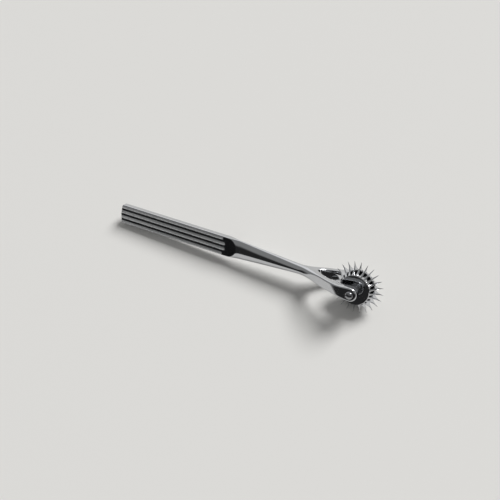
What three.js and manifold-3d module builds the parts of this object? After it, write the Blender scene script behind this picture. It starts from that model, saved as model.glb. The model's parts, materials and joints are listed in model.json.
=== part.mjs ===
// Neurological pinwheel: a ribbed steel handle that ends in a fork, and a spiked wheel on a screw between its arms.
//
// Sizes are millimetres. In the tool's own frame the axle lies on Y through the origin, the handle runs
// along -X, and Z runs across the handle's broad faces. The last group lays the tool down as it rests on
// a table: on the butt, on the lowest spike and on the rim of the far arm.

import * as THREE from 'three';
import { mergeVertices } from 'three/addons/utils/BufferGeometryUtils.js';
import Module from 'manifold-3d';

// Driving sizes of the wheel
const drumRadius = 9.15;
const drumWidth = 9.8;
const drumChamfer = 0.3;
const spikeCount = 24;
const spikeLength = 6.85;
const spikeThickness = 1.2;
const spikeTipSize = 0.12;
const spikeRootDepth = 1.0;
const rimLand = 0.55;
const pocketDepth = 0.7;

// Driving sizes of the axle and the two spacers
const axleRadius = 1.6;
const headRadius = 2.35;
const headHeight = 1.7;
const headEdge = 0.45;
const slotWidth = 0.6;
const slotDepth = 0.8;
const tipChamfer = 0.3;
const spacerRadius = 3.45;
const spacerLength = 3.0;
const spacerChamfer = 0.3;

// Clearances
const runningGap = 0.25;
const seatGap = 0.2;

// Driving sizes of the fork
const armThickness = 4.3;
const armHeight = 6.4;
const armEdge = 1.0;
const armEdgeReach = 16;
const eyeRadius = 4.15;
const eyeEdge = 0.9;
const eyeReach = 11;
const crotchClearance = 9.2;
const crotchWeb = 11.8;
const crotchNose = 2.1;
const armStraight = 4.0;

// Driving sizes of the shank and the handle
const neckDiameter = 6.1;
const shankLength = 42;
const panelLength = 7.4;
const ribbedLength = 76.5;
const handleHeight = 12.6;
const handleThickness = 4.4;
const handleEdge = 1.0;
const buttCrown = 0.8;
const buttEdge = 0.7;

// Driving sizes of the ribs
const ribCount = 4;
const ribPitch = 3.38;
const ribWidth = 2.6;
const ribHeight = 0.5;
const ribShoulder = 0.95;
const panelRim = 0.3;
const outerRibSetback = 1.6;

// Shares, each of the size that it follows
const shankPlaceShares = [0, 0.19, 0.44, 0.7, 0.88, 1];
const shankDropShares = [0, 0.12, 0.42, 0.69, 0.89, 1];
const shankRoundingShare = 0.16;
const fullRoundShare = 0.97;
const buttRingShares = [0.3, 0.62, 0.86];
const buttEdgeShares = [0.5, 1];
const spikeRingShares = [0, 0.1, 0.22, 0.38, 0.56, 0.78];
const spikeWidthPower = 2.15;
const spikeThicknessPower = 0.7;
const crotchEndShare = 0.5;

// Fineness of the curved faces
const cornerSteps = 6;
const shankStations = 20;
const forkStations = 22;
const spikeCornerSteps = 1;
const drumSegments = 96;
const roundSegments = 40;
const domeSteps = 6;
const shoulderSteps = 4;
const curveSteps = 12;

// Sizes that follow from those above
const halfDrum = drumWidth / 2;
const wheelRadius = drumRadius + spikeLength;
const armInner = halfDrum + spacerLength + 2 * runningGap;
const armOuter = armInner + armThickness;
const crotchX = -(wheelRadius + crotchClearance);
const neckX = crotchX - crotchWeb;
const panelEndX = neckX - shankLength;
const ribEndX = panelEndX - panelLength;
const buttX = ribEndX - ribbedLength;
const halfHandle = handleHeight / 2;
const halfThick = handleThickness / 2;
const panelHalfHeight = halfHandle - panelRim;
const panelFloor = halfThick - ribHeight;
const shankX = panelEndX - panelHalfHeight;
const overrun = armThickness;

const wasm = await Module();
wasm.setup();

const steel = { color: 0xc3c6c9, roughness: 0.1, metalness: 1 };
const wheelSteel = { color: 0xb6b9bd, roughness: 0.14, metalness: 1 };
const screwSteel = { color: 0xcfd2d4, roughness: 0.12, metalness: 1 };

// A closed geometry as a solid for the cuts and joins below.
function toSolid(geometry) {
  const bare = geometry.clone();
  bare.deleteAttribute('normal');
  bare.deleteAttribute('uv');
  const merged = mergeVertices(bare);
  return new wasm.Manifold(new wasm.Mesh({
    numProp: 3,
    vertProperties: new Float32Array(merged.attributes.position.array),
    triVerts: new Uint32Array(merged.index.array),
  }));
}

// A solid as a geometry that a mesh can show.
function toGeometry(solid) {
  const mesh = solid.getMesh();
  const geometry = new THREE.BufferGeometry();
  geometry.setAttribute('position', new THREE.BufferAttribute(mesh.vertProperties, 3));
  geometry.setIndex(new THREE.BufferAttribute(mesh.triVerts, 1));
  geometry.computeVertexNormals();
  return geometry;
}

function namedMesh(name, geometry, finish) {
  const mesh = new THREE.Mesh(geometry, new THREE.MeshStandardMaterial(finish));
  mesh.name = name;
  return mesh;
}

function mix(from, to, share) {
  return from + (to - from) * share;
}

function smooth(share) {
  const held = THREE.MathUtils.clamp(share, 0, 1);
  return held * held * (3 - 2 * held);
}

// One ring of a loft: a rectangle across X with elliptical corners, scaled about its centre.
function sectionRing({ x, halfHeight, halfWidth, cornerHeight, cornerWidth, scale = 1, crown = 0 }, steps) {
  const ring = [];
  for (let corner = 0; corner < 4; corner += 1) {
    const ySign = corner === 0 || corner === 3 ? 1 : -1;
    const zSign = corner < 2 ? 1 : -1;
    for (let step = 0; step <= steps; step += 1) {
      const angle = (corner + step / steps) * Math.PI / 2;
      const y = (ySign * (halfWidth - cornerWidth) + cornerWidth * Math.cos(angle)) * scale;
      const z = (zSign * (halfHeight - cornerHeight) + cornerHeight * Math.sin(angle)) * scale;
      ring.push(new THREE.Vector3(x - crown * (1 - (z / halfHeight) ** 2), y, z));
    }
  }
  return ring;
}

// A closed body through rings of equal length, capped at both ends.
function loft(rings) {
  const count = rings[0].length;
  const points = rings.flat();
  const index = [];
  for (let ring = 0; ring < rings.length - 1; ring += 1) {
    for (let side = 0; side < count; side += 1) {
      const here = ring * count + side;
      const beside = ring * count + (side + 1) % count;
      index.push(here, beside, here + count, beside, beside + count, here + count);
    }
  }
  const last = (rings.length - 1) * count;
  const firstCentre = points.push(centreOf(rings[0])) - 1;
  const lastCentre = points.push(centreOf(rings[rings.length - 1])) - 1;
  for (let side = 0; side < count; side += 1) {
    const beside = (side + 1) % count;
    index.push(firstCentre, beside, side, lastCentre, last + side, last + beside);
  }
  const geometry = new THREE.BufferGeometry().setFromPoints(points);
  geometry.setIndex(index);
  return geometry;
}

function centreOf(ring) {
  const sum = new THREE.Vector3();
  ring.forEach((point) => sum.add(point));
  return sum.divideScalar(ring.length);
}

// The section of the bar at the butt and along the ribs.
function handleSection(x) {
  return {
    x,
    halfHeight: halfHandle,
    halfWidth: halfThick,
    cornerHeight: handleEdge,
    cornerWidth: handleEdge,
  };
}

// The rounded, slightly crowned end of the handle.
function buttSections() {
  const shrunk = buttRingShares.map((share) => ({ ...handleSection(buttX), scale: share, crown: buttCrown }));
  const edge = buttEdgeShares.map((share) => {
    const inset = buttEdge * (1 - Math.sin(share * Math.PI / 2));
    const section = handleSection(buttX + buttEdge * (1 - Math.cos(share * Math.PI / 2)));
    return {
      ...section,
      halfHeight: halfHandle - inset,
      halfWidth: halfThick - inset,
      crown: buttCrown,
    };
  });
  return [...shrunk, ...edge, handleSection(buttX + 2 * buttEdge + buttCrown)];
}

// The shank: from the flat bar at the panel's end, through an oval, to the round neck.
function shankSections() {
  const taper = new THREE.SplineCurve(shankPlaceShares.map(
    (place, i) => new THREE.Vector2(place, shankDropShares[i]),
  ));
  const sections = [];
  for (let station = 0; station <= shankStations; station += 1) {
    const at = taper.getPoint(station / shankStations);
    const round = fullRoundShare * smooth(at.x / shankRoundingShare);
    const halfHeight = mix(halfHandle, neckDiameter / 2, at.y);
    const halfWidth = mix(halfThick, neckDiameter / 2, at.y);
    sections.push({
      x: mix(shankX, neckX, at.x),
      halfHeight,
      halfWidth,
      cornerHeight: mix(handleEdge, halfHeight, round),
      cornerWidth: mix(handleEdge, halfWidth, round),
    });
  }
  return sections;
}

// The outside of the fork: it swells from the neck to the full width over both arms, and then to the eyes.
function forkSection(x) {
  const swell = smooth((x - neckX) / (-armStraight - neckX));
  const crisp = smooth((x - neckX) / armEdgeReach);
  const eye = smooth((x + eyeReach) / eyeReach);
  const halfHeight = mix(mix(neckDiameter / 2, armHeight / 2, swell), eyeRadius, eye);
  const halfWidth = mix(neckDiameter / 2, armOuter, swell);
  return {
    x,
    halfHeight,
    halfWidth,
    cornerHeight: mix(mix(halfHeight * fullRoundShare, armEdge, crisp), eyeEdge, eye),
    cornerWidth: mix(mix(halfWidth * fullRoundShare, armEdge, crisp), eyeEdge, eye),
  };
}

function forkSections() {
  const sections = [];
  for (let station = 1; station <= forkStations; station += 1) {
    sections.push(forkSection(mix(neckX, 0, station / forkStations)));
  }
  return sections;
}

// The round ends of both arms as one barrel across the fork, with rounded rims.
function eyeBarrel() {
  const profile = [new THREE.Vector2(0, -armOuter)];
  for (let step = 0; step <= domeSteps; step += 1) {
    const angle = step / domeSteps * Math.PI / 2;
    profile.push(new THREE.Vector2(
      eyeRadius - eyeEdge * (1 - Math.sin(angle)),
      -armOuter + eyeEdge * (1 - Math.cos(angle)),
    ));
  }
  const mirrored = profile.map((point) => new THREE.Vector2(point.x, -point.y)).reverse();
  return new THREE.LatheGeometry([...profile, ...mirrored], roundSegments);
}

// The space between the arms: a narrow round crotch that opens along a curve to parallel walls.
function forkGap() {
  const reach = -armStraight - crotchX;
  const shape = new THREE.Shape();
  shape.moveTo(crotchX, 0);
  shape.bezierCurveTo(
    crotchX, -crotchNose,
    crotchX + reach * crotchEndShare, -armInner,
    -armStraight, -armInner,
  );
  shape.lineTo(eyeRadius + overrun, -armInner);
  shape.lineTo(eyeRadius + overrun, armInner);
  shape.lineTo(-armStraight, armInner);
  shape.bezierCurveTo(
    crotchX + reach * crotchEndShare, armInner,
    crotchX, crotchNose,
    crotchX, 0,
  );
  const depth = 2 * (eyeRadius + overrun);
  const geometry = new THREE.ExtrudeGeometry(shape, { depth, bevelEnabled: false, curveSegments: curveSteps });
  geometry.translate(0, 0, -depth / 2);
  return geometry;
}

// A flat outline in X and Z, raised along -Y from the height given and turned to face one side of the handle.
function raisedOnSide(shape, options, base, side) {
  const geometry = new THREE.ExtrudeGeometry(shape, options);
  geometry.rotateX(Math.PI / 2);
  geometry.translate(0, -base, 0);
  if (side > 0) geometry.rotateX(Math.PI);
  return geometry;
}

// The outline of the sunk panel: open at the butt and round at the shank.
function panelShape() {
  const startX = buttX - buttCrown - overrun;
  const shape = new THREE.Shape();
  shape.moveTo(startX, -panelHalfHeight);
  shape.lineTo(shankX, -panelHalfHeight);
  shape.absarc(shankX, 0, panelHalfHeight, -Math.PI / 2, Math.PI / 2, false);
  shape.lineTo(startX, panelHalfHeight);
  shape.closePath();
  return shape;
}

// The flat crown of one rib, inside its rounded shoulders, with a round tip towards the shank.
function ribShape(z, endX) {
  const startX = buttX - buttCrown - 2 * overrun;
  const radius = ribWidth / 2 - ribShoulder;
  const shape = new THREE.Shape();
  shape.moveTo(startX, z - radius);
  shape.lineTo(endX - ribWidth / 2, z - radius);
  shape.absarc(endX - ribWidth / 2, z, radius, -Math.PI / 2, Math.PI / 2, false);
  shape.lineTo(startX, z + radius);
  shape.closePath();
  return shape;
}

// What is cut from one broad face: the sunk panel less the ribs that stand in it.
function panelCut(side) {
  const panelOptions = { depth: ribHeight + overrun, bevelEnabled: false, curveSegments: 2 * curveSteps };
  const ribOptions = {
    depth: overrun,
    bevelEnabled: true,
    bevelThickness: ribHeight,
    bevelSize: ribShoulder,
    bevelSegments: shoulderSteps,
    curveSegments: curveSteps / 2,
  };
  let cut = toSolid(raisedOnSide(panelShape(), panelOptions, panelFloor, side));
  for (let rib = 0; rib < ribCount; rib += 1) {
    const z = (rib - (ribCount - 1) / 2) * ribPitch;
    const isOuter = rib === 0 || rib === ribCount - 1;
    const endX = isOuter ? ribEndX - outerRibSetback : ribEndX;
    cut = cut.subtract(toSolid(raisedOnSide(ribShape(z, endX), ribOptions, panelFloor - overrun, side)));
  }
  return cut;
}

// The handle, shank and fork are one forging.
function handleFork() {
  const sections = [...buttSections(), ...shankSections(), ...forkSections()];
  const bar = toSolid(loft(sections.map((section) => sectionRing(section, cornerSteps))));
  const hole = new THREE.CylinderGeometry(
    axleRadius + seatGap, axleRadius + seatGap, 2 * (armOuter + overrun), roundSegments,
  );
  return toGeometry(
    bar
      .add(toSolid(eyeBarrel()))
      .subtract(toSolid(forkGap()))
      .subtract(toSolid(hole))
      .subtract(panelCut(-1))
      .subtract(panelCut(1)),
  );
}

// The drum: a bored disc with a plain land at each rim and a sunk band between them.
function drum() {
  const bore = axleRadius + runningGap;
  const half = [
    new THREE.Vector2(drumRadius - pocketDepth, 0),
    new THREE.Vector2(drumRadius - pocketDepth, halfDrum - drumChamfer - rimLand - pocketDepth),
    new THREE.Vector2(drumRadius, halfDrum - drumChamfer - rimLand),
    new THREE.Vector2(drumRadius, halfDrum - drumChamfer),
    new THREE.Vector2(drumRadius - drumChamfer, halfDrum),
    new THREE.Vector2(bore + drumChamfer, halfDrum),
    new THREE.Vector2(bore, halfDrum - drumChamfer),
  ];
  const mirrored = half.slice(1).map((point) => new THREE.Vector2(point.x, -point.y)).reverse();
  const profile = [...mirrored, ...half, mirrored[0].clone()];
  return new THREE.LatheGeometry(profile, drumSegments);
}

// One spike, pointing along X: a fin as wide as the drum at its root that draws in to a needle tip.
function spike() {
  const rings = spikeRingShares.map((share) => {
    const halfWidth = (halfDrum - drumChamfer) * (1 - share) ** spikeWidthPower;
    const halfHeight = spikeThickness / 2 * (1 - share) ** spikeThicknessPower;
    return spikeRing(drumRadius + share * spikeLength, halfHeight, halfWidth);
  });
  const root = spikeRing(drumRadius - spikeRootDepth, spikeThickness / 2, halfDrum - drumChamfer);
  const tip = spikeRing(wheelRadius, spikeTipSize / 2, spikeTipSize / 2);
  return loft([root, ...rings, tip]);
}

function spikeRing(x, halfHeight, halfWidth) {
  const corner = Math.min(halfHeight, halfWidth) / 2;
  return sectionRing({ x, halfHeight, halfWidth, cornerHeight: corner, cornerWidth: corner }, spikeCornerSteps);
}

// The wheel is one piece: the drum and its ring of spikes.
function spikedWheel() {
  let solid = toSolid(drum());
  for (let turn = 0; turn < spikeCount; turn += 1) {
    const geometry = spike();
    geometry.rotateY(turn / spikeCount * 2 * Math.PI);
    solid = solid.add(toSolid(geometry));
  }
  return toGeometry(solid);
}

// A collar on the axle that keeps the wheel in the middle of the fork.
function spacer() {
  const bore = axleRadius + runningGap;
  const half = spacerLength / 2;
  const profile = [
    new THREE.Vector2(bore, -half),
    new THREE.Vector2(spacerRadius - spacerChamfer, -half),
    new THREE.Vector2(spacerRadius, -half + spacerChamfer),
    new THREE.Vector2(spacerRadius, half - spacerChamfer),
    new THREE.Vector2(spacerRadius - spacerChamfer, half),
    new THREE.Vector2(bore, half),
    new THREE.Vector2(bore, -half),
  ];
  return new THREE.LatheGeometry(profile, roundSegments);
}

// The axle screw: a slotted dome on the near arm and a plain shaft that ends flush with the far arm.
function axleScrew() {
  const seat = -armOuter - seatGap;
  const profile = [];
  for (let step = 0; step <= domeSteps; step += 1) {
    const angle = step / domeSteps * Math.PI / 2;
    profile.push(new THREE.Vector2(
      headRadius * Math.sin(angle),
      seat - headEdge - (headHeight - headEdge) * Math.cos(angle),
    ));
  }
  profile.push(new THREE.Vector2(headRadius, seat));
  profile.push(new THREE.Vector2(axleRadius, seat));
  profile.push(new THREE.Vector2(axleRadius, armOuter - tipChamfer));
  profile.push(new THREE.Vector2(axleRadius - tipChamfer, armOuter));
  profile.push(new THREE.Vector2(0, armOuter));
  const slot = new THREE.BoxGeometry(2 * headRadius + overrun, slotDepth + overrun, slotWidth);
  slot.translate(0, seat - headHeight + slotDepth - (slotDepth + overrun) / 2, 0);
  return toGeometry(toSolid(new THREE.LatheGeometry(profile, roundSegments)).subtract(toSolid(slot)));
}

// How far the tool leans over until the far arm's rounded rim touches the table beside the lowest spike.
function leanAngle() {
  const up = wheelRadius - (eyeRadius - eyeEdge);
  const across = armOuter - eyeEdge;
  return Math.acos(eyeEdge / Math.hypot(up, across)) - Math.atan2(across, up);
}

// How far the wheel end stands above the butt, once the tool leans.
function pitchAngle(lean) {
  const axleHeight = wheelRadius * Math.cos(lean);
  const core = (halfHandle - handleEdge) * Math.cos(lean) + (halfThick - handleEdge) * Math.sin(lean);
  return Math.asin((axleHeight - core - handleEdge) / -buttX);
}

function pinwheel() {
  const tool = new THREE.Group();
  tool.add(namedMesh('handle_fork', handleFork(), steel));
  tool.add(namedMesh('spiked_wheel', spikedWheel(), wheelSteel));
  tool.add(namedMesh('axle_screw', axleScrew(), screwSteel));
  for (const [name, side] of [['near_spacer', -1], ['far_spacer', 1]]) {
    const mesh = namedMesh(name, spacer(), steel);
    mesh.position.y = side * (halfDrum + runningGap + spacerLength / 2);
    tool.add(mesh);
  }
  return tool;
}

// The tool as it lies: leaning over on its wheel, with the origin on the table under the middle of its box.
function layOnTable(tool) {
  const lean = leanAngle();
  tool.rotation.x = -lean;
  const pitched = new THREE.Group();
  pitched.rotation.y = -pitchAngle(lean);
  pitched.add(tool);
  const placed = new THREE.Group();
  placed.add(pitched);
  placed.updateMatrixWorld(true);
  const box = new THREE.Box3().setFromObject(placed, true);
  const middle = box.getCenter(new THREE.Vector3());
  pitched.position.set(-middle.x, -middle.y, -box.min.z);
  return placed;
}

export default layOnTable(pinwheel());
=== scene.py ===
"""Neurological pinwheel: the looks of a polished steel hand tool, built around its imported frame.

A flat ribbed handle narrows through an oval shank to a round neck and opens into a fork. A wheel of sharp
spikes turns on a screw between the fork's arms, with a collar on each side of it.

Each piece is shaped in millimetres in the tool's own frame: the axle lies on Y through the origin, the handle
runs along -X, and Z runs across the handle's broad faces. Its last step lays it into the row frame in metres.
"""

import itertools
import json
import logging
import math
from collections.abc import Callable, Iterator, Sequence
from contextlib import contextmanager
from dataclasses import dataclass
from enum import Enum
from typing import Any

import bmesh
import bpy
from mathutils import Matrix, Vector


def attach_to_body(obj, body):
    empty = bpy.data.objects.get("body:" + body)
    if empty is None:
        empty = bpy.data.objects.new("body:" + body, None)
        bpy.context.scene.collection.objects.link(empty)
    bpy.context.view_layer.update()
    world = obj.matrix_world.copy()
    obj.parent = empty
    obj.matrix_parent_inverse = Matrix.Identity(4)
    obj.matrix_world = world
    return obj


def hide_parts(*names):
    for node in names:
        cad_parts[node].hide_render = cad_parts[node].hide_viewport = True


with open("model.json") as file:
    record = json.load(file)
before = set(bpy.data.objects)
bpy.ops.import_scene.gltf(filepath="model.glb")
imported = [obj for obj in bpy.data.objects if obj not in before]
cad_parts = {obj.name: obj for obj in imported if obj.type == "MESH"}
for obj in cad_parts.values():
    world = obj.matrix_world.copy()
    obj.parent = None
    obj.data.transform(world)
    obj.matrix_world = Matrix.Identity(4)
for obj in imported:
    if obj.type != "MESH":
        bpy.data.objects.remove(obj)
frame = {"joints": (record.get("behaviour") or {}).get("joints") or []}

LOG = logging.getLogger("pinwheel")
MILLIMETRE = 0.001
# In millimetres: points this close are one, and a face's middle may stray this far from its level
WELD = 0.001
FACE_MARGIN = 10 * WELD
HALF_TURN = math.pi
FULL_TURN = 2 * math.pi
QUARTER_TURN = math.pi / 2
ORIGIN = (0.0, 0.0, 0.0)
ALONG_AXLE = (0.0, 1.0, 0.0)
BACK_ALONG_AXLE = (0.0, -1.0, 0.0)

Piece = bpy.types.Object
Ring = list[Vector]
Span = tuple[float, float]
Outline = list[Span]
Colour = tuple[float, float, float, float]


class Side(Enum):
    """The two sides of the tool across the axle."""

    NEAR = -1
    FAR = 1


class Cut(Enum):
    """How one solid changes another."""

    REMOVE = "DIFFERENCE"
    JOIN = "UNION"


class Finish(Enum):
    """The finishes of the forging, in the order of its material slots."""

    POLISHED = 0
    BRUSHED = 1
    # Painted shade: the nearly black steel of the sunk ground and the grooves
    SHADE_PAINTED = 2


# Curves and sums


def mix(start: float, end: float, share: float) -> float:
    """Goes from start to end by a share."""
    return start + (end - start) * share


def smooth(share: float) -> float:
    """Eases a share in and out, held between 0 and 1."""
    held = min(max(share, 0.0), 1.0)
    return held * held * (3 - 2 * held)


def bezier(points: Sequence[Vector], share: float) -> Vector:
    """Finds a point on a cubic curve.

    Args:
        points: The curve's two ends with its two handles between them.
        share: How far along the curve, from 0 to 1.

    Returns:
        The point.
    """
    rest = 1 - share
    weights = (rest ** 3, 3 * rest ** 2 * share, 3 * rest * share ** 2, share ** 3)
    return sum((point * weight for point, weight in zip(points, weights)), Vector((0.0, 0.0)))


def spline(points: Sequence[Vector], share: float) -> Vector:
    """Finds a point on a smooth curve through all the points.

    Args:
        points: The points that the curve passes through.
        share: How far along the curve, from 0 to 1.

    Returns:
        The point.
    """
    spans = len(points) - 1
    span = min(int(share * spans), spans - 1)
    t = share * spans - span
    before, start, end, after = (points[min(max(i, 0), spans)] for i in range(span - 1, span + 3))
    leave = (end - before) / 2
    arrive = (after - start) / 2
    cubic = (start - end) * 2 + leave + arrive
    square = (end - start) * 3 - leave * 2 - arrive
    return cubic * t ** 3 + square * t ** 2 + leave * t + start


def shares(steps: int) -> list[float]:
    """Lists the shares from 0 to 1 in even steps, with both ends."""
    return [step / steps for step in range(steps + 1)]


def quarter(steps: int) -> list[float]:
    """Lists the angles of a quarter turn in even steps, with both ends."""
    return [share * QUARTER_TURN for share in shares(steps)]


def mirrored(outline: Outline) -> Outline:
    """Turns an outline over, in the order that runs on from its own end."""
    return [(place, -station) for place, station in reversed(outline)]


def tongue(start: float, centre: float, z: float, radius: float, steps: int) -> Outline:
    """Draws a strip along X with one round end.

    Args:
        start: Where its square end lies.
        centre: The middle of its round end.
        z: Its middle across the handle.
        radius: Half its width.
        steps: How many steps the round end has.

    Returns:
        Its points, from one corner past the round end to the other corner.
    """
    angles = [(share - 0.5) * HALF_TURN for share in shares(steps)]
    arc = [(centre + radius * math.cos(a), z + radius * math.sin(a)) for a in angles]
    return [(start, z - radius), *arc, (start, z + radius)]


# Modelling as by hand


def deselect_all() -> None:
    """Leaves no object selected, the frame's own nodes included."""
    bpy.ops.object.select_all(action="DESELECT")


def make_active(piece: Piece) -> None:
    """Selects one object alone and makes it the active one."""
    deselect_all()
    piece.select_set(True)
    bpy.context.view_layer.objects.active = piece


@contextmanager
def editing(piece: Piece) -> Iterator[None]:
    """Holds a piece in edit mode, with nothing selected at the start.

    Args:
        piece: The mesh object to edit.

    Yields:
        Nothing: the operators inside work on the piece.
    """
    make_active(piece)
    bpy.ops.object.mode_set(mode="EDIT")
    bpy.ops.mesh.select_mode(type="VERT")
    bpy.ops.mesh.select_all(action="DESELECT")
    yield
    bpy.ops.object.mode_set(mode="OBJECT")


def select_points(piece: Piece, test: Callable[[bmesh.types.BMVert], bool]) -> None:
    """Selects points of a piece in edit mode, and the edges and faces between them.

    Args:
        piece: The piece in edit mode.
        test: Says of a point, by its place or number, whether it is selected.
    """
    bpy.ops.mesh.select_all(action="DESELECT")
    mesh = bmesh.from_edit_mesh(piece.data)
    for point in mesh.verts:
        point.select = test(point)
    mesh.select_flush(True)
    bmesh.update_edit_mesh(piece.data)


def weld(piece: Piece) -> None:
    """Merges doubled points, drops faces without area and turns the rest outwards."""
    with editing(piece):
        bpy.ops.mesh.select_all(action="SELECT")
        bpy.ops.mesh.remove_doubles(threshold=WELD)
        bpy.ops.mesh.dissolve_degenerate(threshold=WELD)
        bpy.ops.mesh.select_all(action="SELECT")
        bpy.ops.mesh.normals_make_consistent(inside=False)


def start_loop(name: str, count: int) -> Piece:
    """Adds a closed loop of points, ready to be set in place.

    Args:
        name: The object's name.
        count: How many points the loop has.

    Returns:
        The loop.
    """
    deselect_all()
    bpy.ops.mesh.primitive_circle_add(vertices=count, radius=1.0, fill_type="NOTHING")
    piece = bpy.context.object
    piece.name = name
    return piece


def loft(name: str, rings: Sequence[Ring], cap_first: bool = True, cap_last: bool = True) -> Piece:
    """Draws the first ring and extrudes it to each of the others.

    Args:
        name: The object's name.
        rings: Rings of equal length, in order.
        cap_first: Whether the first ring is filled.
        cap_last: Whether the last ring is filled.

    Returns:
        The skin through the rings.
    """
    count = len(rings[0])
    piece = start_loop(name, count)
    with editing(piece):
        bpy.ops.mesh.select_all(action="SELECT")
        for _ in rings[1:]:
            bpy.ops.mesh.extrude_region_move(TRANSFORM_OT_translate={"value": ALONG_AXLE})
    for point, place in zip(piece.data.vertices, itertools.chain.from_iterable(rings), strict=True):
        point.co = place
    last = count * (len(rings) - 1)
    with editing(piece):
        for is_capped, start in ((cap_first, 0), (cap_last, last)):
            if is_capped:
                select_points(piece, lambda point: start <= point.index < start + count)
                bpy.ops.mesh.edge_face_add()
    weld(piece)
    return piece


def turned(name: str, profile: Outline, steps: int, bored: bool) -> Piece:
    """Spins a profile once round the axle.

    Args:
        name: The object's name.
        profile: Radii with their stations along the axle, in order.
        steps: How many steps the turn has.
        bored: Whether the profile closes on itself, clear of the axle's line.

    Returns:
        The turned solid.
    """
    piece = start_loop(name, len(profile))
    ends = (0, len(profile) - 1)
    for point, (radius, station) in zip(piece.data.vertices, profile, strict=True):
        point.co = (radius, station, 0.0)
    with editing(piece):
        if not bored:
            select_points(piece, lambda point: point.index in ends)
            bpy.ops.mesh.delete(type="EDGE_FACE")
        bpy.ops.mesh.select_all(action="SELECT")
        bpy.ops.mesh.spin(steps=steps, angle=FULL_TURN, center=ORIGIN, axis=ALONG_AXLE)
    weld(piece)
    return piece


def merge(name: str, parts: Sequence[Piece]) -> Piece:
    """Joins meshes into one object and welds the points that they share.

    Args:
        name: The name of the joined object.
        parts: The objects to join.

    Returns:
        The joined object.
    """
    make_active(parts[0])
    for part in parts[1:]:
        part.select_set(True)
    bpy.ops.object.join()
    piece = bpy.context.object
    piece.name = name
    weld(piece)
    return piece


def combine(piece: Piece, other: Piece, cut: Cut) -> None:
    """Cuts another solid from a piece, or joins it to the piece, and removes the other.

    Args:
        piece: The piece that stays.
        other: The solid that is used up.
        cut: Whether it is removed or joined.
    """
    make_active(piece)
    modifier = piece.modifiers.new(cut.name.title(), "BOOLEAN")
    modifier.operation = cut.value
    modifier.solver = "MANIFOLD"
    modifier.object = other
    bpy.ops.object.modifier_apply(modifier=modifier.name)
    bpy.data.objects.remove(other)


# The tool's frame


@dataclass(frozen=True)
class ToolFrame:
    """Where the tool's own frame lies in the row frame.

    Attributes:
        axle: The middle of the axle, in metres.
        across: The direction along the axle, towards the far arm.
    """

    axle: Vector
    across: Vector

    @classmethod
    def of_joint(cls, joint: dict[str, Any]) -> "ToolFrame":
        """Reads the frame from the joint that the wheel turns on."""
        return cls(Vector(joint["pos_m"]), Vector(joint["axis"]).normalized())

    @property
    def turn(self) -> Matrix:
        """The rotation from the tool's frame to the row frame: the handle's length keeps level across."""
        along = Vector((-self.across.z, 0.0, self.across.x)).normalized()
        return Matrix((along, self.across, along.cross(self.across))).transposed()

    @property
    def placement(self) -> Matrix:
        """The step from millimetres in the tool's frame to metres in the row frame."""
        return Matrix.Translation(self.axle) @ self.turn.to_4x4() @ Matrix.Scale(MILLIMETRE, 4)

    def lay(self, piece: Piece, smooth_angle: float) -> None:
        """Lays a finished piece into the row frame and shades it smooth.

        Args:
            piece: The piece, in millimetres in the tool's frame.
            smooth_angle: Edges blunter than this look round, in radians.
        """
        piece.matrix_world = self.placement
        make_active(piece)
        bpy.ops.object.transform_apply(location=True, rotation=True, scale=True)
        bpy.ops.object.shade_smooth_by_angle(angle=smooth_angle)


# Finishes

NOISE_LOW = 0.3
NOISE_HIGH = 0.7
PATCHES_PER_MM = 0.12
SWELLS_PER_MM = 0.22

Socket = bpy.types.NodeSocket


def srgb(text: str) -> Colour:
    """Turns a colour as written on screens into the linear values that shaders take.

    Args:
        text: A hash sign and six hex digits.

    Returns:
        The linear colour with a full alpha.
    """
    values = [int(text[i:i + 2], 16) / 255 for i in (1, 3, 5)]
    red, green, blue = (v / 12.92 if v <= 0.04045 else ((v + 0.055) / 1.055) ** 2.4 for v in values)
    return red, green, blue, 1.0


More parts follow.
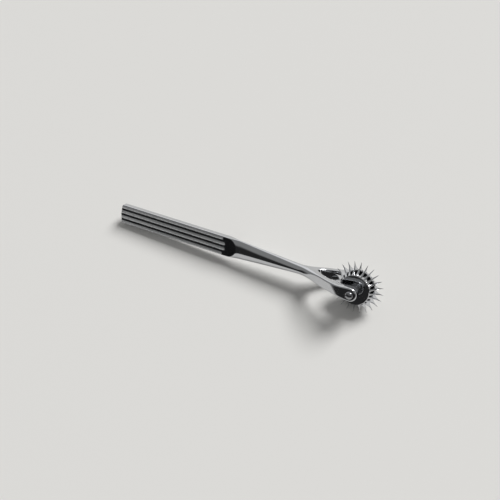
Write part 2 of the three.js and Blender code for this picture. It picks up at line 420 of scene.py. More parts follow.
class NodeGraph:
    """The nodes of one material or world."""

    def __init__(self, owner: bpy.types.Material | bpy.types.World) -> None:
        """Turns the owner's nodes on and clears them."""
        owner.use_nodes = True
        self.tree = owner.node_tree
        self.tree.nodes.clear()

    def add(self, kind: str, inputs: dict[str | int, Any] | None = None, **settings: str) -> bpy.types.Node:
        """Adds a node.

        Args:
            kind: The node's type.
            inputs: For a socket's name or number, the value or the socket that feeds it.
            settings: Values of the node's own properties.

        Returns:
            The new node.
        """
        node = self.tree.nodes.new(kind)
        for setting, value in settings.items():
            setattr(node, setting, value)
        for socket, value in (inputs or {}).items():
            if isinstance(value, Socket):
                self.tree.links.new(value, node.inputs[socket])
            else:
                node.inputs[socket].default_value = value
        return node

    def calculate(self, operation: str, one: Socket, other: Socket | float) -> Socket:
        """Works one value out of two."""
        return self.add("ShaderNodeMath", {0: one, 1: other}, operation=operation).outputs[0]

    def tint(self, share: Socket, first: Socket | Colour, second: Socket | Colour) -> Socket:
        """Goes from the first colour to the second by a share."""
        inputs = {"Factor": share, 6: first, 7: second}
        return self.add("ShaderNodeMix", inputs, data_type="RGBA").outputs[2]

    def eased(self, value: Socket, span: Span) -> Socket:
        """Turns a value into a share that eases in and out, 0 at the span's start and 1 at its end."""
        inputs = {"Value": value, "From Min": span[0], "From Max": span[1]}
        return self.add("ShaderNodeMapRange", inputs, interpolation_type="SMOOTHSTEP").outputs["Result"]

    def noise(self, place: Socket, scale: float, detail: float, roughness: float = 0.5) -> Socket:
        """Draws noise.

        Args:
            place: The place that it is drawn over.
            scale: Marks per unit of the place.
            detail: How many finer layers it has.
            roughness: How strong each finer layer is.

        Returns:
            Its value, mostly between NOISE_LOW and NOISE_HIGH.
        """
        inputs = {"Vector": place, "Scale": scale, "Detail": detail, "Roughness": roughness}
        return self.add("ShaderNodeTexNoise", inputs).outputs["Fac"]

    def bumped(self, height: Socket, depth: float, normal: Socket | None = None) -> Socket:
        """Raises marks on the surface.

        Args:
            height: Their height as a share.
            depth: The full height in millimetres.
            normal: The normal with other marks, if there are any.

        Returns:
            The normal with all marks.
        """
        inputs = {"Height": height, "Strength": 1.0, "Distance": depth * MILLIMETRE}
        if normal is not None:
            inputs["Normal"] = normal
        return self.add("ShaderNodeBump", inputs).outputs["Normal"]

    def place_in(self, tool: ToolFrame) -> Socket:
        """Gives the place on the piece in millimetres in the tool's own frame."""
        return self.add("ShaderNodeMapping", {
            "Vector": self.add("ShaderNodeTexCoord").outputs["Object"], "Location": tool.axle,
            "Rotation": tool.turn.to_euler(), "Scale": (MILLIMETRE,) * 3,
        }, vector_type="TEXTURE").outputs["Vector"]


@dataclass(frozen=True)
class SteelFinish:
    """One finish of the stainless steel, made with noise in real sizes.

    Attributes:
        name: The material's name.
        colour: The reflected colour where the surface is clearest.
        shade: The reflected colour in its duller patches.
        smoothest: The lowest roughness.
        roughest: The highest roughness.
        grain: Marks per millimetre along X, Y and Z.
        depth: The height of the marks in millimetres.
        wave_depth: The height of the soft unevenness that hand polishing leaves, in millimetres.
    """

    name: str
    colour: str
    shade: str
    smoothest: float
    roughest: float
    grain: tuple[float, float, float]
    depth: float
    wave_depth: float = 0.0

    def material(self, tool: ToolFrame) -> bpy.types.Material:
        """Makes the material.

        Args:
            tool: The frame that the grain follows.

        Returns:
            The new material.
        """
        material = bpy.data.materials.new(self.name)
        graph = NodeGraph(material)
        place = graph.place_in(tool)
        grain = graph.add("ShaderNodeVectorMath", {0: place, 1: self.grain}, operation="MULTIPLY")
        marks = graph.noise(grain.outputs["Vector"], scale=1.0, detail=4.0, roughness=0.6)
        patches = graph.noise(place, PATCHES_PER_MM, detail=2.0)
        roughness = graph.add("ShaderNodeMapRange", {
            "Value": graph.calculate("MULTIPLY", graph.calculate("ADD", marks, patches), 0.5),
            "From Min": NOISE_LOW, "From Max": NOISE_HIGH, "To Min": self.smoothest, "To Max": self.roughest,
        })
        normal = graph.bumped(marks, self.depth)
        if self.wave_depth:
            normal = graph.bumped(graph.noise(place, SWELLS_PER_MM, detail=1.0), self.wave_depth, normal)
        shader = graph.add("ShaderNodeBsdfPrincipled", {
            "Base Color": graph.tint(patches, srgb(self.colour), srgb(self.shade)), "Metallic": 1.0,
            "Roughness": roughness.outputs["Result"], "Normal": normal,
        })
        graph.add("ShaderNodeOutputMaterial", {"Surface": shader.outputs["BSDF"]})
        return material


def dress(piece: Piece, materials: Sequence[bpy.types.Material]) -> None:
    """Gives a piece its materials in place of any that it has."""
    piece.data.materials.clear()
    for material in materials:
        piece.data.materials.append(material)


# Forged steel, mirror polished on a buff: a clear reflection with fine wipe marks along the handle
POLISHED_STEEL = SteelFinish(
    "Mirror polished stainless steel", "#cecfd2", "#c5c7ca", 0.04, 0.10, (0.3, 3.0, 3.0), 0.0008, 0.010,
)
# Rib tops, dressed lengthwise on a belt: a soft grey sheen, its lines drawn coarser than a belt's grit
BRUSHED_STEEL = SteelFinish(
    "Lengthwise brushed stainless steel", "#e0e1e3", "#d4d5d8", 0.36, 0.46, (0.12, 5.0, 5.0), 0.004,
)
# The sunk ground and the ribs' low flanks, painted nearly black as shade in the recesses, with a dull sheen
SHADE_PAINTED_STEEL = SteelFinish(
    "Stainless steel with painted shade", "#5f6063", "#525356", 0.18, 0.28, (2.4, 2.4, 2.4), 0.002,
)
# The wheel, turned, milled and polished: a darker mirror
WHEEL_STEEL = SteelFinish(
    "Turned and polished stainless steel", "#cdced1", "#c3c5c8", 0.05, 0.12, (1.2, 3.0, 1.2), 0.0008, 0.006,
)
# The pockets between the spikes' roots: dull as the cutter left them, and painted darker than the drum's rims
# as shade
POCKET_SHADE_STEEL = SteelFinish(
    "Milled stainless steel with painted shade", "#36373a", "#2c2d30", 0.30, 0.42, (2.0, 2.0, 2.0), 0.003,
)
# The screw and the collars, turned from bar: fine rings round the axle on a dulled mirror
SCREW_STEEL = SteelFinish(
    "Turned screw stock stainless steel", "#a2a3a6", "#96979a", 0.10, 0.18, (2.5, 6.0, 2.5), 0.0012,
)


# The wheel


@dataclass(frozen=True)
class SpikedWheel:
    """The drum with its ring of spikes, all one piece, in millimetres."""

    drum_radius: float = 9.15
    drum_width: float = 9.8
    drum_chamfer: float = 0.3
    rim_land: float = 1.8
    pocket_depth: float = 1.4
    pocket_wall: float = 0.3
    bore_radius: float = 1.85
    spike_count: int = 24
    spike_length: float = 6.85
    spike_thickness: float = 1.2
    spike_tip: float = 0.12
    spike_root: float = 2.0
    width_power: float = 2.15
    thickness_power: float = 0.7
    # How far up the spikes the pockets' painted shade reaches
    pocket_shade_reach: float = 1.0
    drum_steps: int = 144
    spike_stations: int = 14
    smooth_angle: float = math.radians(35)

    @property
    def half_drum(self) -> float:
        """Half the drum's width."""
        return self.drum_width / 2

    @property
    def half_band(self) -> float:
        """Half the width of the sunk band between the lands."""
        return self.half_drum - self.drum_chamfer - self.rim_land

    @property
    def wheel_radius(self) -> float:
        """The radius over the spikes' tips."""
        return self.drum_radius + self.spike_length

    def drum(self) -> Piece:
        """Turns the bored drum, with a land at each rim and a sunk band between them."""
        half = [
            (self.drum_radius - self.pocket_depth, self.half_band - self.pocket_wall),
            (self.drum_radius, self.half_band),
            (self.drum_radius, self.half_drum - self.drum_chamfer),
            (self.drum_radius - self.drum_chamfer, self.half_drum),
            (self.bore_radius + self.drum_chamfer, self.half_drum),
            (self.bore_radius, self.half_drum - self.drum_chamfer),
        ]
        return turned("spiked_wheel", half + mirrored(half), self.drum_steps, bored=True)

    def spike_ring(self, x: float, half_height: float, half_width: float) -> Ring:
        """Draws one section of a spike: a rectangle with cut corners."""
        corner = min(half_height, half_width) / 2
        upper = [
            (half_width, half_height - corner), (half_width - corner, half_height),
            (-half_width + corner, half_height), (-half_width, half_height - corner),
        ]
        return [Vector((x, y, z)) for y, z in upper + mirrored(upper)]

    def spike(self) -> Piece:
        """Lofts one spike along X: a fin as wide as the drum that draws in to a needle."""
        root_width = self.half_drum - self.drum_chamfer
        root_height = self.spike_thickness / 2
        rings = [self.spike_ring(self.drum_radius - self.spike_root, root_height, root_width)]
        for station in range(self.spike_stations):
            share = station / self.spike_stations
            rings.append(self.spike_ring(
                self.drum_radius + share * self.spike_length,
                max(root_height * (1 - share) ** self.thickness_power, self.spike_tip / 2),
                max(root_width * (1 - share) ** self.width_power, self.spike_tip / 2),
            ))
        rings.append(self.spike_ring(self.wheel_radius, self.spike_tip / 2, self.spike_tip / 2))
        return loft("spike", rings)

    def spike_crown(self) -> Piece:
        """Copies one spike round the axle."""
        first = self.spike()
        spikes = [first]
        for turn in range(1, self.spike_count):
            make_active(first)
            bpy.ops.object.duplicate()
            copy = bpy.context.object
            copy.data.transform(Matrix.Rotation(turn / self.spike_count * FULL_TURN, 4, "Y"))
            spikes.append(copy)
        return merge("spikes", spikes)

    def build(self, tool: ToolFrame) -> Piece:
        """Makes the wheel and dresses it.

        Args:
            tool: Where the tool's frame lies.

        Returns:
            The finished piece.
        """
        piece = self.drum()
        combine(piece, self.spike_crown(), Cut.JOIN)
        weld(piece)
        dress(piece, [WHEEL_STEEL.material(tool), POCKET_SHADE_STEEL.material(tool)])
        for face in piece.data.polygons:
            # Painted shade: faces in the pockets and on the spikes' roots take the dark milled steel
            face.material_index = int(self.is_pocket_shaded(face.center))
        tool.lay(piece, self.smooth_angle)
        return piece

    def is_pocket_shaded(self, centre: Vector) -> bool:
        """Says whether a face belongs to the dull pockets milled between the spikes, which get the painted
        shade.

        Args:
            centre: The face's middle in the tool's frame, in millimetres.

        Returns:
            True in the sunk band and on the spikes' flanks near it.
        """
        radius = math.hypot(centre.x, centre.z)
        sunk = self.drum_radius - self.pocket_depth - WELD
        return abs(centre.y) < self.half_band and sunk < radius < self.drum_radius + self.pocket_shade_reach


# The axle


@dataclass(frozen=True)
class AxleSet:
    """The screw and the two collars that carry the wheel, in millimetres."""

    wheel: SpikedWheel
    axle_radius: float = 1.6
    head_radius: float = 2.35
    head_height: float = 1.7
    head_edge: float = 0.45
    slot_width: float = 0.6
    slot_depth: float = 0.8
    tip_chamfer: float = 0.3
    spacer_radius: float = 3.45
    spacer_length: float = 3.0
    spacer_chamfer: float = 0.3
    running_gap: float = 0.25
    seat_gap: float = 0.2
    arm_thickness: float = 4.3
    steps: int = 96
    dome_steps: int = 10
    smooth_angle: float = math.radians(30)

    @property
    def arm_inner(self) -> float:
        """How far the arms' inner walls stand from the middle."""
        return self.wheel.half_drum + self.spacer_length + 2 * self.running_gap

    @property
    def arm_outer(self) -> float:
        """How far the arms' outer walls stand from the middle."""
        return self.arm_inner + self.arm_thickness

    def screw(self) -> Piece:
        """Turns the screw, with its domed head on the near side, and cuts the slot."""
        seat = -self.arm_outer - self.seat_gap
        dome = self.head_height - self.head_edge
        profile = [
            (self.head_radius * math.sin(a), seat - self.head_edge - dome * math.cos(a))
            for a in quarter(self.dome_steps)
        ]
        profile += [
            (self.head_radius, seat),
            (self.axle_radius, seat),
            (self.axle_radius, self.arm_outer - self.tip_chamfer),
            (self.axle_radius - self.tip_chamfer, self.arm_outer),
            (0.0, self.arm_outer),
        ]
        piece = turned("axle_screw", profile, self.steps, bored=False)
        combine(piece, self.slot(seat), Cut.REMOVE)
        return piece

    def slot(self, seat: float) -> Piece:
        """Makes the block that cuts the screwdriver slot.

        Args:
            seat: The station of the head's underside.

        Returns:
            The block.
        """
        deselect_all()
        bpy.ops.mesh.primitive_cube_add(
            size=1.0, location=(0.0, seat - self.head_height, 0.0),
            scale=(3 * self.head_radius, 2 * self.slot_depth, self.slot_width),
        )
        bpy.ops.object.transform_apply(location=True, rotation=True, scale=True)
        return bpy.context.object

    def spacer(self, side: Side) -> Piece:
        """Turns the collar between the drum and one arm.

        Args:
            side: Which side of the wheel it stands on.

        Returns:
            The collar.
        """
        bore = self.axle_radius + self.running_gap
        middle = side.value * (self.wheel.half_drum + self.running_gap + self.spacer_length / 2)
        half = self.spacer_length / 2
        chamfer = self.spacer_chamfer
        offsets = [
            (bore, -half + chamfer / 2),
            (bore + chamfer / 2, -half),
            (self.spacer_radius - chamfer, -half),
            (self.spacer_radius - chamfer / 3, -half + chamfer / 3),
            (self.spacer_radius, -half + chamfer),
        ]
        profile = [(radius, middle + offset) for radius, offset in offsets + mirrored(offsets)]
        return turned(f"{side.name.lower()}_spacer", profile, self.steps, bored=True)

    def build(self, tool: ToolFrame) -> list[Piece]:
        """Makes the screw and both collars and dresses them.

        Args:
            tool: Where the tool's frame lies.

        Returns:
            The finished pieces.
        """
        pieces = [self.screw(), self.spacer(Side.NEAR), self.spacer(Side.FAR)]
        steel = SCREW_STEEL.material(tool)
        for piece in pieces:
            tool.lay(piece, self.smooth_angle)
            dress(piece, [steel])
        return pieces


# The forging


@dataclass(frozen=True)
class Section:
    """A rectangle across the handle with elliptical corners, in millimetres.

    Attributes:
        x: Its station along the handle.
        half_height: Half its height, along Z.
        half_width: Half its width, along Y.
        corner_height: How much of the height a corner takes.
        corner_width: How much of the width a corner takes.
    """

    x: float
    half_height: float
    half_width: float
    corner_height: float
    corner_width: float


@dataclass(frozen=True)
class HandleFork:
    """The handle, shank and fork, one forging, in millimetres."""

    wheel: SpikedWheel
    axle: AxleSet
    arm_height: float = 6.4
    arm_edge: float = 1.0
    arm_edge_reach: float = 16.0
    arm_inner_edge: float = 0.35
    eye_radius: float = 4.15
    eye_edge: float = 0.9
    eye_reach: float = 11.0
    hole_chamfer: float = 0.25
    crotch_clearance: float = 9.2
    crotch_web: float = 11.8
    crotch_nose: float = 2.1
    arm_straight: float = 4.0
    neck_diameter: float = 6.1
    shank_length: float = 42.0
    panel_length: float = 7.4
    ribbed_length: float = 76.5
    handle_height: float = 12.6
    handle_thickness: float = 4.4
    handle_edge: float = 1.0
    butt_crown: float = 0.8
    butt_edge: float = 0.7
    rib_count: int = 4
    rib_pitch: float = 3.38
    rib_width: float = 2.6
    rib_height: float = 0.5
    rib_shoulder: float = 0.95
    rib_crown: float = 0.02
    rib_crown_shares: tuple[float, ...] = (0.6, 0.2)
    rib_foot: float = 0.75
    # Up to this height over the sunk ground, faces get the painted shade; above it the rib tops are brushed
    rib_painted_shade_top: float = 0.4
    panel_rim: float = 0.3
    outer_rib_setback: float = 1.6
    overrun: float = 3.0
    shank_place_shares: tuple[float, ...] = (0, 0.19, 0.44, 0.7, 0.88, 1)
    shank_drop_shares: tuple[float, ...] = (0, 0.12, 0.42, 0.69, 0.89, 1)
    shank_rounding_share: float = 0.16
    full_round_share: float = 0.97
    crotch_end_share: float = 0.5
    butt_ring_shares: tuple[float, ...] = (0.08, 0.3, 0.62, 0.86)
    corner_steps: int = 10
    inner_corner_steps: int = 4
    shoulder_steps: int = 8
    butt_steps: int = 5
    shank_stations: int = 48
    web_stations: int = 16
    arm_stations: int = 36
    eye_stations: int = 8
    end_steps: int = 32
    arc_steps: int = 48
    smooth_angle: float = math.radians(32)

    @property
    def crotch_x(self) -> float:
        """Where the fork divides."""
        return -(self.wheel.wheel_radius + self.crotch_clearance)

    @property
    def neck_x(self) -> float:
        """Where the shank is round."""
        return self.crotch_x - self.crotch_web

    @property
    def panel_end_x(self) -> float:
        """Where the sunk panel's round end reaches."""
        return self.neck_x - self.shank_length

    @property
    def rib_end_x(self) -> float:
        """Where the inner ribs end."""
        return self.panel_end_x - self.panel_length

    @property
    def butt_x(self) -> float:
        """Where the butt's rim lies."""
        return self.rib_end_x - self.ribbed_length

    @property
    def half_handle(self) -> float:
        """Half the handle's height."""
        return self.handle_height / 2

    @property
    def half_thick(self) -> float:
        """Half the handle's thickness."""
        return self.handle_thickness / 2

    @property
    def panel_half_height(self) -> float:
        """Half the sunk panel's height, which is also the radius of its round end."""
        return self.half_handle - self.panel_rim

    @property
    def panel_floor(self) -> float:
        """How far the sunk ground lies from the handle's middle."""
        return self.half_thick - self.rib_height

    @property
    def shank_x(self) -> float:
        """Where the flat bar starts to taper."""
        return self.panel_end_x - self.panel_half_height

    def bar_section(self, x: float, inset: float = 0.0) -> Section:
        """The flat bar's section, drawn in by an inset."""
        edge = self.handle_edge
        return Section(x, self.half_handle - inset, self.half_thick - inset, edge, edge)

    def shank_section(self, share: float) -> Section:
        """The shank's section, from the flat bar through an oval to the round neck.

        Args:
            share: How far along the taper, from 0 to 1.

        Returns:
            The section there.
        """
        points = [Vector(pair) for pair in zip(self.shank_place_shares, self.shank_drop_shares)]
        place, drop = spline(points, share)
        rounding = self.full_round_share * smooth(place / self.shank_rounding_share)
        half_height = mix(self.half_handle, self.neck_diameter / 2, drop)
        half_width = mix(self.half_thick, self.neck_diameter / 2, drop)
        return Section(
            mix(self.shank_x, self.neck_x, place), half_height, half_width,
            mix(self.handle_edge, half_height, rounding), mix(self.handle_edge, half_width, rounding),
        )

    def fork_section(self, x: float) -> Section:
        """The section over both arms: it swells from the neck to the fork's full width and to the eyes.

        Args:
            x: The station.

        Returns:
            The section there.
        """
        swell = smooth((x - self.neck_x) / (-self.arm_straight - self.neck_x))
        crisp = smooth((x - self.neck_x) / self.arm_edge_reach)
        eye = smooth((x + self.eye_reach) / self.eye_reach)
        half_height = mix(mix(self.neck_diameter, self.arm_height, swell) / 2, self.eye_radius, eye)
        half_width = mix(self.neck_diameter / 2, self.axle.arm_outer, swell)
        corner_height = mix(half_height * self.full_round_share, self.arm_edge, crisp)
        corner_width = mix(half_width * self.full_round_share, self.arm_edge, crisp)
        return Section(
            x, half_height, half_width,
            mix(corner_height, self.eye_edge, eye), mix(corner_width, self.eye_edge, eye),
        )

    def half_ring(self, section: Section, side: Side, inner: float = 0.0) -> Ring:
        """Draws one side of a section, from the top past the outer wall to the bottom.

        Args:
            section: The section.
            side: The side that is drawn.
            inner: Where the drawing starts and ends, from the middle.

        Returns:
            The points of that side.
        """
        flat_width = section.half_width - section.corner_width
        flat_height = section.half_height - section.corner_height
        corner = [
            (
                flat_width + section.corner_width * math.sin(a),
                flat_height + section.corner_height * math.cos(a),
            )
            for a in quarter(self.corner_steps)
        ]
        upper = [(inner, section.half_height), *corner]
        outline = [*upper, (section.half_width, 0.0), *mirrored(upper)]
        return [Vector((section.x, side.value * y, z)) for y, z in outline]

    def full_ring(self, section: Section, scale: float = 1.0, crown: float = 0.0) -> Ring:
        """Draws a whole section, scaled about its middle, with an outward crown.

        Args:
            section: The section.
            scale: What the section is scaled by.
            crown: How far the middle stands out along -X.

        Returns:
            The points all round.
        """
        near = self.half_ring(section, Side.NEAR)
        far = self.half_ring(section, Side.FAR)
        ring = [Vector((p.x, p.y * scale, p.z * scale)) for p in near + far[-2:0:-1]]
        for point in ring:
            point.x -= crown * (1 - (point.z / section.half_height) ** 2)
        return ring

    def butt_rings(self) -> list[Ring]:
        """Draws the rounded, slightly crowned end of the handle."""
        rings = [
            self.full_ring(self.bar_section(self.butt_x, self.butt_edge), scale=share, crown=self.butt_crown)
            for share in self.butt_ring_shares
        ]
        for angle in quarter(self.butt_steps):
            inset = self.butt_edge * (1 - math.sin(angle))
            x = self.butt_x + self.butt_edge * (1 - math.cos(angle))
            rings.append(self.full_ring(self.bar_section(x, inset), crown=self.butt_crown))
        rings.append(self.full_ring(self.bar_section(self.butt_x + 2 * self.butt_edge + self.butt_crown)))
        return rings

    def body(self) -> Piece:
        """Lofts the handle, the shank and the web up to the crotch, open there."""
        rings = self.butt_rings()
        rings += [self.full_ring(self.shank_section(share)) for share in shares(self.shank_stations)]
        for share in shares(self.web_stations)[1:]:
            rings.append(self.full_ring(self.fork_section(mix(self.neck_x, self.crotch_x, share))))
        return loft("handle_fork", rings, cap_last=False)

    def arm_ring(self, x: float, inner: float, side: Side) -> Ring:
        """Draws the section of one arm, with its inner edges rounded.

        Args:
            x: The station.
            inner: How far the inner wall stands from the middle.
            side: Which arm it is.

        Returns:
            The points all round the arm.
        """
        section = self.fork_section(x)
        edge = min(self.arm_inner_edge, inner)
        lower = [
            (inner + edge * (1 - math.sin(a)), edge * (1 - math.cos(a)) - section.half_height)
            for a in quarter(self.inner_corner_steps)[1:]
        ]
        wall = [*lower, (inner, 0.0), *mirrored(lower)]
        return self.half_ring(section, side, inner + edge) + [Vector((x, side.value * y, z)) for y, z in wall]

    def arm(self, side: Side) -> Piece:
        """Lofts one arm from the crotch and spins its round end about the axle.

        Args:
            side: Which arm it is.

        Returns:
            The arm, open at the crotch.
        """
        reach = -self.arm_straight - self.crotch_x
        inner = self.axle.arm_inner
        curve = [
            Vector((self.crotch_x, 0.0)),
            Vector((self.crotch_x, self.crotch_nose)),
            Vector((self.crotch_x + reach * self.crotch_end_share, inner)),
            Vector((-self.arm_straight, inner)),
        ]
        walls = [bezier(curve, share) for share in shares(self.arm_stations)]
        for share in shares(self.eye_stations)[1:]:
            walls.append(Vector((mix(-self.arm_straight, 0.0, share), inner)))
        rings = [self.arm_ring(wall.x, wall.y, side) for wall in walls]
        piece = loft(f"{side.name.lower()}_arm", rings, cap_first=False, cap_last=False)
        with editing(piece):
            select_points(piece, lambda point: point.co.x > -WELD and point.co.z > -WELD)
            bpy.ops.mesh.spin(steps=self.end_steps, angle=HALF_TURN, center=ORIGIN, axis=BACK_ALONG_AXLE)
        weld(piece)
        return piece

    def hole(self) -> Piece:
        """Turns the cutter for the axle's hole through both eyes, with a small chamfer at each face."""
        radius = self.axle.axle_radius + self.axle.seat_gap
        chamfer = self.hole_chamfer
        outside = self.axle.arm_outer
        inside = self.axle.arm_inner
        wide = radius + chamfer + self.overrun
        half = [
            (radius + chamfer, 0.0),
            (radius + chamfer, inside),
            (radius, inside + chamfer),
            (radius, outside - chamfer),
            (wide, outside + self.overrun),
            (0.0, outside + self.overrun),
        ]
        return turned("hole", mirrored(half[1:]) + half, self.arc_steps * 2, bored=False)

    def panel(self, side: Side) -> Piece:
        """Makes the block that sinks one panel: open at the butt and round at the shank.

        Args:
            side: Which broad face it lies on.

        Returns:
            The block.
        """
        start = self.butt_x - self.butt_crown - self.overrun
        outline = tongue(start, self.shank_x, 0.0, self.panel_half_height, self.arc_steps)
        levels = [self.panel_floor, self.half_thick + self.overrun]
        return loft("panel", [[Vector((x, side.value * y, z)) for x, z in outline] for y in levels])

    def rib_profile(self) -> Outline:
        """Half a rib's section: insets from its side, with their heights over the sunk ground."""
        shoulder_top = self.rib_height - self.rib_crown
        shoulder = [
            (self.rib_shoulder * (1 - math.cos(a)), shoulder_top * math.sin(a))
            for a in quarter(self.shoulder_steps)
        ]
        half_top = self.rib_width / 2 - self.rib_shoulder
        crown = [
            (self.rib_shoulder + half_top * (1 - share), self.rib_height - self.rib_crown * share ** 2)
            for share in self.rib_crown_shares
        ]
        return [(0.0, -self.rib_foot), *shoulder, *crown]

    def rib(self, side: Side, z: float, end_x: float) -> Piece:
        """Lofts one crowned rib with a round tip towards the shank.

        Args:
            side: Which broad face it stands on.
            z: Its middle across the handle.
            end_x: Where its tip ends.

        Returns:
            The rib.
        """
        start = self.butt_x - self.butt_crown - 2 * self.overrun
        centre = end_x - self.rib_width / 2
        rings = []
        for inset, height in self.rib_profile():
            outline = tongue(start, centre, z, self.rib_width / 2 - inset, self.corner_steps)
            y = side.value * (self.panel_floor + height)
            rings.append([Vector((x, y, across)) for x, across in outline])
        return loft("rib", rings)

    def sink_panel(self, piece: Piece, side: Side) -> None:
        """Sinks a panel into one broad face and leaves the ribs standing in it.

        Args:
            piece: The forging.
            side: Which broad face is cut.
        """
        panel = self.panel(side)
        for rib in range(self.rib_count):
            z = (rib - (self.rib_count - 1) / 2) * self.rib_pitch
            is_outer = rib in (0, self.rib_count - 1)
            end_x = self.rib_end_x - (self.outer_rib_setback if is_outer else 0.0)
            combine(panel, self.rib(side, z, end_x), Cut.REMOVE)
        combine(piece, panel, Cut.REMOVE)

    def finish_of(self, centre: Vector) -> Finish:
        """Says which finish a face has.

        Args:
            centre: The face's middle in the tool's frame, in millimetres.

        Returns:
            The finish.
        """
        height = abs(centre.y) - self.panel_floor
        inside = abs(centre.z) < self.panel_half_height
        if centre.x > self.shank_x:
            inside = math.hypot(centre.x - self.shank_x, centre.z) < self.panel_half_height + WELD
        if not inside or height < -FACE_MARGIN or centre.x < self.butt_x - self.butt_crown:
            return Finish.POLISHED
        # Painted shade: the sunk ground and the ribs' low flanks take the nearly black steel
        if height < self.rib_painted_shade_top:
            return Finish.SHADE_PAINTED
        return Finish.BRUSHED if centre.x < self.rib_end_x else Finish.POLISHED

    def build(self, tool: ToolFrame) -> Piece:
        """Makes the forging and dresses it.

        Args:
            tool: Where the tool's frame lies.

        Returns:
            The finished piece.
        """
        piece = merge("handle_fork", [self.body(), self.arm(Side.NEAR), self.arm(Side.FAR)])
        combine(piece, self.hole(), Cut.REMOVE)
        for side in Side:
            self.sink_panel(piece, side)
        weld(piece)
        dress(piece, [finish.material(tool) for finish in (POLISHED_STEEL, BRUSHED_STEEL, SHADE_PAINTED_STEEL)])
        for face in piece.data.polygons:
            face.material_index = self.finish_of(face.center).value
        tool.lay(piece, self.smooth_angle)
        return piece


# Camera, floor and light


@dataclass(frozen=True)
class PhotoCamera:
    """The photograph's view of the tool.

    Attributes:
        azimuth: How far the handle's length is turned towards the camera, in degrees.
        elevation: How far the camera looks down on the handle's length, in degrees.
        lean: How far the top of the handle leans away from the camera, in degrees.
        axle_view: The axle's middle as the camera sees it: right, up and towards it, in metres.
        focal_share: The focal length as a share of the picture's width.
        sensor_width: The width of the sensor, in millimetres.
    """

    azimuth: float = 28.4
    elevation: float = 35.97
    lean: float = 12.91
    axle_view: tuple[float, float, float] = (0.06181, -0.02149, -0.51861)
    focal_share: float = 1.8
    sensor_width: float = 36.0

    def place(self, tool: ToolFrame) -> None:
        """Adds the camera and makes it the scene's own.

        Args:
            tool: Where the tool's frame lies.
        """
        view_of_tool = (
            Matrix.Rotation(math.radians(self.elevation - 90), 3, "X")
            @ Matrix.Rotation(math.radians(-self.azimuth), 3, "Z")
            @ Matrix.Rotation(math.radians(-self.lean), 3, "X")
        )
        turn = tool.turn @ view_of_tool.transposed()
        data = bpy.data.cameras.new("photo_camera")
        data.sensor_width = self.sensor_width
        data.lens = self.focal_share * self.sensor_width
        camera = bpy.data.objects.new("photo_camera", data)
        bpy.context.scene.collection.objects.link(camera)
        camera.matrix_world = Matrix.Translation(tool.axle - turn @ Vector(self.axle_view)) @ turn.to_4x4()
        bpy.context.scene.camera = camera


@dataclass(frozen=True)
class SoftLamp:
    """A broad lamp so far off that it lights the whole floor evenly.

    Attributes:
        name: Its name.
        azimuth: Where it stands round the tool, from +X towards +Y, in degrees.
        elevation: How high it stands over the floor, in degrees.
        breadth: How wide it looks from the tool, in degrees.
        strength: Its light on a face square to it, in watts per square metre.
    """

    name: str
    azimuth: float
    elevation: float
    breadth: float
    strength: float

    def hang(self) -> None:
        """Hangs the lamp and aims it at the tool."""
        data = bpy.data.lights.new(self.name, "SUN")
        data.energy = self.strength
        data.angle = math.radians(self.breadth)
        lamp = bpy.data.objects.new(self.name, data)
        bpy.context.scene.collection.objects.link(lamp)
        raised = Matrix.Rotation(-math.radians(self.elevation), 3, "Y") @ Vector((1.0, 0.0, 0.0))
        towards = Matrix.Rotation(math.radians(self.azimuth), 3, "Z") @ raised
        lamp.location = towards
        lamp.rotation_mode = "QUATERNION"
        lamp.rotation_quaternion = (-towards).to_track_quat("-Z", "Y")


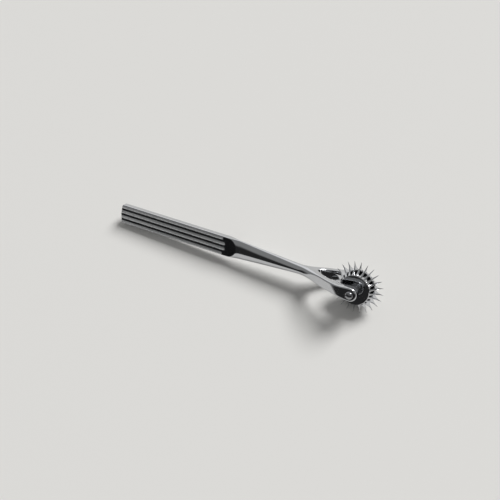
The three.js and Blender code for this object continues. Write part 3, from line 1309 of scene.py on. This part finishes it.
@dataclass(frozen=True)
class Studio:
    """The plain pale floor, the backdrop and the soft light.

    Attributes:
        bright_towards: The direction of the room's bright side.
        bright_span: Where that side begins and is full, as the cosine of the angle to its direction.
        dark_span: The same for the dark side, which lies the other way.
        dark_heights: The heights of a ray where the dark side ends and where it is full.
        horizon: The heights of a ray where the floor's colour ends and where the room is full.
        room_light: The strength of the even light on everything.
    """

    floor_size: float = 12.0
    floor_colour: str = "#dcdbd8"
    floor_roughness: float = 0.7
    floor_sheen: float = 0.2
    bright_towards: tuple[float, float, float] = (-0.354, 0.892, -0.280)
    bright_span: Span = (0.35, 0.6)
    dark_span: Span = (-0.2, -0.5)
    dark_heights: Span = (0.72, 0.5)
    horizon: Span = (0.03, 0.1)
    bright: str = "#ffffff"
    dim: str = "#8e8e8d"
    dark: str = "#2b2b2b"
    room_light: float = 0.26
    key: SoftLamp = SoftLamp("key_lamp", 65.0, 38.0, 24.0, 3.7)

    def floor(self) -> None:
        """Lays the floor."""
        deselect_all()
        bpy.ops.mesh.primitive_plane_add(size=self.floor_size, location=ORIGIN)
        floor = bpy.context.object
        floor.name = "floor"
        # A plain pale ground with hardly any shine, which keeps the tool's soft shadow
        material = bpy.data.materials.new("Pale matt board")
        graph = NodeGraph(material)
        shader = graph.add("ShaderNodeBsdfPrincipled", {
            "Base Color": srgb(self.floor_colour), "Roughness": self.floor_roughness,
            "Specular IOR Level": self.floor_sheen,
        })
        graph.add("ShaderNodeOutputMaterial", {"Surface": shader.outputs["BSDF"]})
        floor.data.materials.append(material)

    def backdrop(self) -> None:
        """Makes the world: the floor's colour up to the horizon, a soft room over it, and an even light."""
        world = bpy.data.worlds.new("studio")
        bpy.context.scene.world = world
        graph = NodeGraph(world)
        direction = graph.add("ShaderNodeTexCoord").outputs["Generated"]
        towards = graph.add("ShaderNodeVectorMath", {
            0: direction, 1: Vector(self.bright_towards).normalized(),
        }, operation="DOT_PRODUCT").outputs["Value"]
        height = graph.add("ShaderNodeSeparateXYZ", {"Vector": direction}).outputs["Z"]
        low = graph.eased(height, self.dark_heights)
        away = graph.calculate("MULTIPLY", graph.eased(towards, self.dark_span), low)
        front = graph.tint(away, srgb(self.dim), srgb(self.dark))
        room = graph.tint(graph.eased(towards, self.bright_span), front, srgb(self.bright))
        backdrop = graph.tint(graph.eased(height, self.horizon), srgb(self.floor_colour), room)
        seen = graph.add("ShaderNodeBackground", {"Color": backdrop, "Strength": 1.0})
        light = graph.add("ShaderNodeBackground", {"Color": srgb(self.bright), "Strength": self.room_light})
        path = graph.add("ShaderNodeLightPath").outputs
        shown = graph.calculate("MAXIMUM", path["Is Camera Ray"], path["Is Glossy Ray"])
        shown = graph.calculate("MAXIMUM", shown, path["Is Transmission Ray"])
        mixed = graph.add("ShaderNodeMixShader", {"Fac": shown, 1: light.outputs[0], 2: seen.outputs[0]})
        graph.add("ShaderNodeOutputWorld", {"Surface": mixed.outputs[0]})

    def build(self) -> None:
        """Sets up the floor, the backdrop, the lamp and the plain view of colours."""
        self.floor()
        self.backdrop()
        self.key.hang()
        bpy.context.scene.view_settings.view_transform = "Standard"


def attach(piece: Piece, body: str, node: str) -> None:
    """Lets a piece ride on its body and stand for its node, whose own mesh is hidden.

    Args:
        piece: The finished piece.
        body: The body that it moves with.
        node: The node that it stands for.
    """
    piece.name = node + "_finished"
    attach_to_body(piece, body)
    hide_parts(node)
    LOG.info("%s: %d faces, on %s", piece.name, len(piece.data.polygons), body)


def main() -> None:
    """Builds the tool piece by piece, then the studio around it."""
    logging.basicConfig(level=logging.INFO, format="%(name)s: %(message)s")
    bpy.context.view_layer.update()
    tool = ToolFrame.of_joint(frame["joints"][0])
    PhotoCamera().place(tool)
    wheel = SpikedWheel()
    axle = AxleSet(wheel)
    forging = HandleFork(wheel, axle)
    attach(forging.build(tool), "handle", "handle_fork")
    attach(wheel.build(tool), "wheel", "spiked_wheel")
    screw, near_spacer, far_spacer = axle.build(tool)
    attach(screw, "handle", "axle_screw")
    attach(near_spacer, "handle", "near_spacer")
    attach(far_spacer, "handle", "far_spacer")
    Studio().build()


if __name__ == "__main__":
    main()
